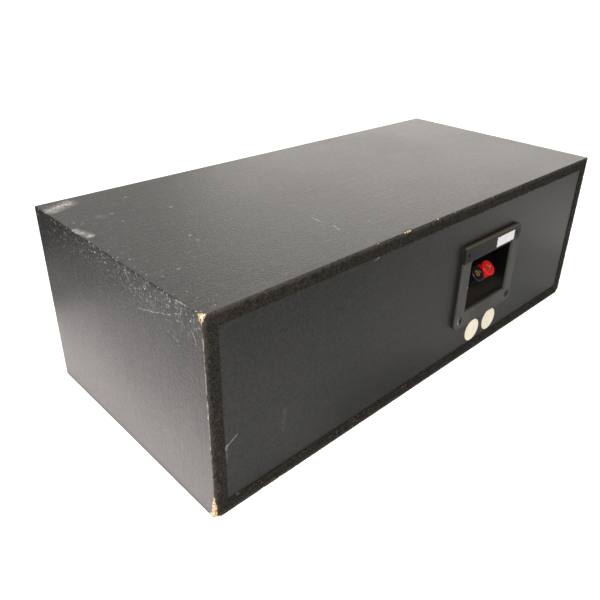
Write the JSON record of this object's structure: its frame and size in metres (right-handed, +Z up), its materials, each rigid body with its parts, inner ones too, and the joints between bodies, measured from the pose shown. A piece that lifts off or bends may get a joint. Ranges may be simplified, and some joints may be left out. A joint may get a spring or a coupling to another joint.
{
  "type": "center channel speaker",
  "caption": "Long low closed-box loudspeaker for under or over a screen: black cabinet, inset cloth grille, woofers either side of a dome tweeter, screw-down binding posts in a rear cup.",
  "frame": {"origin": "middle of the cabinet's underside", "axes": "+X along the cabinet's length, +Y out of the rear where the terminals are, +Z up"},
  "size_m": [0.45, 0.2116, 0.148],
  "materials": {
    "vinyl_board": "satin",
    "rear_board": "satin",
    "baffle_board": "matte",
    "wadding": "matte",
    "moulded_black": "satin",
    "foam": "matte",
    "screw_black": "satin",
    "gold_plate": "polished",
    "red_moulding": "gloss",
    "black_moulding": "gloss",
    "zinc_steel": "satin",
    "tinned_brass": "satin",
    "label_white": "satin",
    "sticker_cream": "matte",
    "circuit_board": "satin",
    "copper_wire": "satin",
    "film_capacitor": "gloss",
    "cement": "matte",
    "red_lead": "satin",
    "black_lead": "satin",
    "dome_cloth": "satin",
    "ferrite": "matte",
    "grille_cloth": "matte",
    "pressed_steel": "satin",
    "surround_rubber": "matte",
    "cone_paper": "matte",
    "spider_cloth": "matte"
  },
  "bodies": {
    "cabinet": {"cabinet_wrap": "vinyl_board", "rear_panel": "rear_board", "front_baffle": "baffle_board", "wadding_mat": "wadding", "terminal_cup": "moulded_black", "terminal_gasket": "foam", "terminal_screws": "screw_black", "red_post_stud": "gold_plate", "black_post_stud": "gold_plate", "red_post_bush": "red_moulding", "black_post_bush": "black_moulding", "post_nuts": "zinc_steel", "solder_tags": "tinned_brass", "plate_label": "label_white", "round_stickers": "sticker_cream", "crossover_board": "circuit_board", "coil_bobbin": "moulded_black", "coil_winding": "copper_wire", "crossover_capacitors": "film_capacitor", "crossover_resistor": "cement", "crossover_screws": "zinc_steel", "input_lead_red": "red_lead", "input_lead_black": "black_lead", "driver_leads": "black_lead", "driver_gaskets": "foam", "driver_screws": "screw_black", "driver_tags": "tinned_brass", "tweeter_faceplate": "moulded_black", "tweeter_dome": "dome_cloth", "tweeter_voice_coil": "copper_wire", "tweeter_top_plate": "zinc_steel", "tweeter_magnet": "ferrite", "tweeter_yoke": "zinc_steel", "grille_sockets": "moulded_black", "left_frame": "pressed_steel", "left_surround": "surround_rubber", "left_spider": "spider_cloth", "left_top_plate": "zinc_steel", "left_magnets": "ferrite", "left_yoke": "zinc_steel", "left_shield_can": "zinc_steel", "right_frame": "pressed_steel", "right_surround": "surround_rubber", "right_spider": "spider_cloth", "right_top_plate": "zinc_steel", "right_magnets": "ferrite", "right_yoke": "zinc_steel", "right_shield_can": "zinc_steel"},
    "red_clamp": {"red_clamp_washer": "gold_plate"},
    "red_cap": {"red_cap": "red_moulding"},
    "black_clamp": {"black_clamp_washer": "gold_plate"},
    "black_cap": {"black_cap": "black_moulding"},
    "left_cone": {"left_cone": "cone_paper", "left_dust_cap": "cone_paper", "left_voice_coil": "copper_wire"},
    "right_cone": {"right_cone": "cone_paper", "right_dust_cap": "cone_paper", "right_voice_coil": "copper_wire"},
    "grille": {"grille_frame": "moulded_black", "grille_cloth": "grille_cloth"}
  },
  "joints": [
    {"name": "red_clamp_lift", "type": "slide", "parent": "cabinet", "child": "red_clamp", "axis": [0, 0.7071, 0.7071], "range_m": [0, 0.003]},
    {"name": "red_cap_turn", "type": "hinge", "parent": "red_clamp", "child": "red_cap", "pos_m": [-0.07125, 0.0941, 0.07109], "axis": [0, 0.7071, 0.7071], "range_deg": [0, 1080]},
    {"name": "black_clamp_lift", "type": "slide", "parent": "cabinet", "child": "black_clamp", "axis": [0, 0.7071, 0.7071], "range_m": [0, 0.003]},
    {"name": "black_cap_turn", "type": "hinge", "parent": "black_clamp", "child": "black_cap", "pos_m": [-0.05475, 0.0941, 0.07109], "axis": [0, 0.7071, 0.7071], "range_deg": [0, 1080]},
    {"name": "left_cone_travel", "type": "slide", "parent": "cabinet", "child": "left_cone", "axis": [0, -1, 0], "range_m": [-0.003, 0.003], "stiffness_N_per_m": 1000, "deforming": ["left_surround", "left_spider"]},
    {"name": "right_cone_travel", "type": "slide", "parent": "cabinet", "child": "right_cone", "axis": [0, -1, 0], "range_m": [-0.003, 0.003], "stiffness_N_per_m": 1000, "deforming": ["right_surround", "right_spider"]},
    {"name": "grille_pull", "type": "slide", "parent": "cabinet", "child": "grille", "axis": [0, -1, 0], "range_m": [0, 0.011]}
  ],
  "couplings": [
    {"joint": "red_cap_turn", "follows": "red_clamp_lift", "rad_per_m": 6283.2},
    {"joint": "black_cap_turn", "follows": "black_clamp_lift", "rad_per_m": 6283.2}
  ]
}
